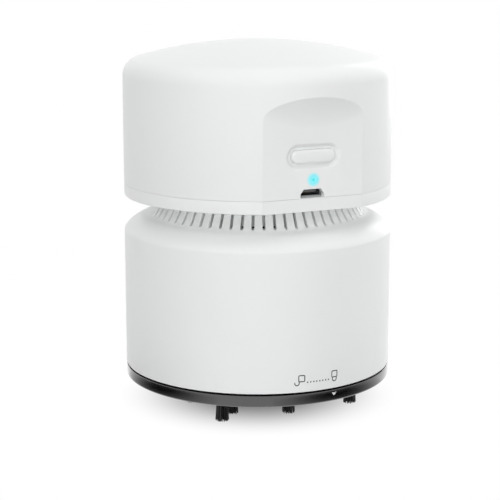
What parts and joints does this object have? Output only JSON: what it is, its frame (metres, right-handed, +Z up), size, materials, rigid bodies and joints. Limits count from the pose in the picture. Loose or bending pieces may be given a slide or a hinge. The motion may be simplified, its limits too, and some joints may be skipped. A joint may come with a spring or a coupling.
{
  "type": "desktop mini vacuum cleaner",
  "caption": "Round two-tier desk vacuum: domed head with a control flat, slotted exhaust neck, dust drum, and a twist-off bristled suction base.",
  "frame": {"origin": "centre of the bristle circle, on the floor that the bristle tips touch", "axes": "+Z up along the drum's axis, -Y out of the flat that carries the button, lamp and socket, +X to that flat's right"},
  "size_m": [0.082, 0.082, 0.1109],
  "materials": {
    "white_plastic": "white moulded plastic with a soft gloss",
    "black_gloss": "polished black plastic",
    "black_plastic": "fine matt texture",
    "bristle": "nylon bristle",
    "rubber": "soft matt rubber",
    "steel": "plated sheet steel",
    "zinc": "zinc plated",
    "brass": "sintered bronze",
    "magnet": "dull ferrite",
    "copper": "enamelled copper winding",
    "circuit_board": "green solder mask",
    "capacitor_sleeve": "dark grey sleeve",
    "cell_wrap": "metal can in a blue shrink wrap",
    "filter_felt": "pale needle felt",
    "lamp": "clear lens lit pale blue",
    "red_wire": "soft insulation",
    "black_wire": "soft insulation"
  },
  "bodies": {
    "housing": {"top_shell": "white_plastic", "head_base": "white_plastic", "switch_body": "zinc", "led_lens": "lamp", "led_emitter": "lamp", "usb_shell": "steel", "usb_tongue": "black_plastic", "control_board": "circuit_board", "charge_chip": "black_plastic", "capacitor": "capacitor_sleeve", "battery_cradle": "black_plastic", "battery_cell": "cell_wrap", "battery_lead_red": "red_wire", "battery_lead_black": "black_wire", "motor_lead_red": "red_wire", "motor_lead_black": "black_wire", "head_screw_1": "zinc", "head_screw_2": "zinc", "motor_damper": "rubber", "motor_can": "steel", "motor_end_cap": "black_plastic", "motor_bush_lower": "brass", "motor_bush_upper": "brass", "motor_magnet_right": "magnet", "motor_magnet_left": "magnet", "motor_screw_1": "zinc", "motor_screw_2": "zinc", "body_shell": "white_plastic", "body_screw_1": "zinc", "body_screw_2": "zinc", "body_screw_3": "zinc"},
    "base": {"base_ring": "black_gloss", "suction_plate": "black_plastic", "base_seal": "rubber", "brush_carrier_1": "bristle", "brush_carrier_2": "bristle", "brush_carrier_3": "bristle", "brush_carrier_4": "bristle", "base_screw_1": "zinc", "base_screw_2": "zinc", "base_screw_3": "zinc", "base_screw_4": "zinc"},
    "rotor": {"motor_shaft": "steel", "armature": "copper", "impeller": "black_plastic"},
    "button": {"power_button": "white_plastic", "switch_plunger": "black_plastic"},
    "filter": {"filter_frame": "black_plastic", "filter_pad": "filter_felt", "filter_seal": "rubber"}
  },
  "joints": [
    {"name": "base_twist", "type": "hinge", "parent": "housing", "child": "base", "pos_m": [0, 0, 0.0079], "axis": [0, 0, 1], "range_deg": [-16, 0]},
    {"name": "rotor_spin", "type": "hinge", "parent": "housing", "child": "rotor", "pos_m": [0, 0, 0.07], "axis": [0, 0, 1], "continuous": true},
    {"name": "button_press", "type": "slide", "parent": "housing", "child": "button", "axis": [0, 1, 0], "range_m": [0, 0.0008], "stiffness_N_per_m": 600},
    {"name": "filter_pull", "type": "slide", "parent": "housing", "child": "filter", "axis": [0, 0, -1], "range_m": [0, 0.009]}
  ]
}
